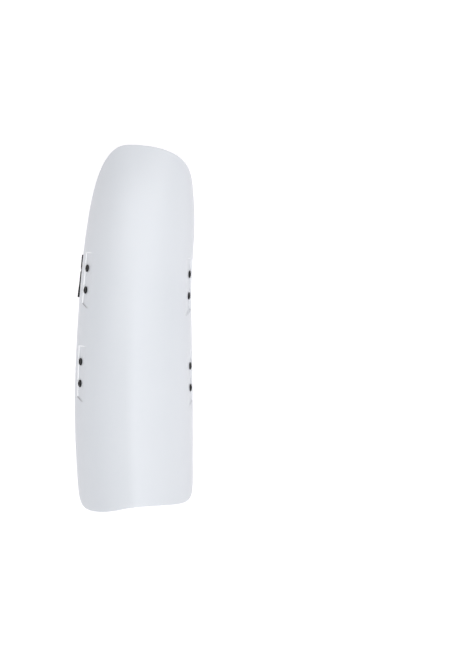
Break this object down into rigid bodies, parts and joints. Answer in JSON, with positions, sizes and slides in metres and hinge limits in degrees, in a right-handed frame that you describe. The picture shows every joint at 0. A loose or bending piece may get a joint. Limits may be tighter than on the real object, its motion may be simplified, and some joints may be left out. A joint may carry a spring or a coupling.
{
  "type": "ski racing shin guard",
  "caption": "Long moulded plastic shin guard, open at the back, with recessed strap pockets, black rivets and elastic straps that close with hook patches.",
  "frame": {"origin": "under the middle of the bounding box, on the surface that the guard lies on, open side down", "axes": "+X to the right seen from the front, +Y up the leg to the knee end, +Z out of the front of the shin"},
  "size_m": [0.1263, 0.3803, 0.0671],
  "materials": {
    "shell_plastic": "satin white",
    "rivet_metal": "gloss black",
    "strap_elastic": "ribbed black elastic",
    "tab_webbing": "woven black",
    "hook_tape": "black hook tape"
  },
  "bodies": {
    "root": {"shell": "shell_plastic", "rivet_upper_left_top": "rivet_metal", "rivet_upper_left_bottom": "rivet_metal", "rivet_upper_right_top": "rivet_metal", "rivet_upper_right_bottom": "rivet_metal", "rivet_lower_left_top": "rivet_metal", "rivet_lower_left_bottom": "rivet_metal", "rivet_lower_right_top": "rivet_metal", "rivet_lower_right_bottom": "rivet_metal", "strap_upper": "strap_elastic", "tab_upper": "tab_webbing", "hook_patch_upper": "hook_tape", "strap_lower": "strap_elastic", "tab_lower": "tab_webbing", "hook_patch_lower": "hook_tape"}
  },
  "joints": []
}
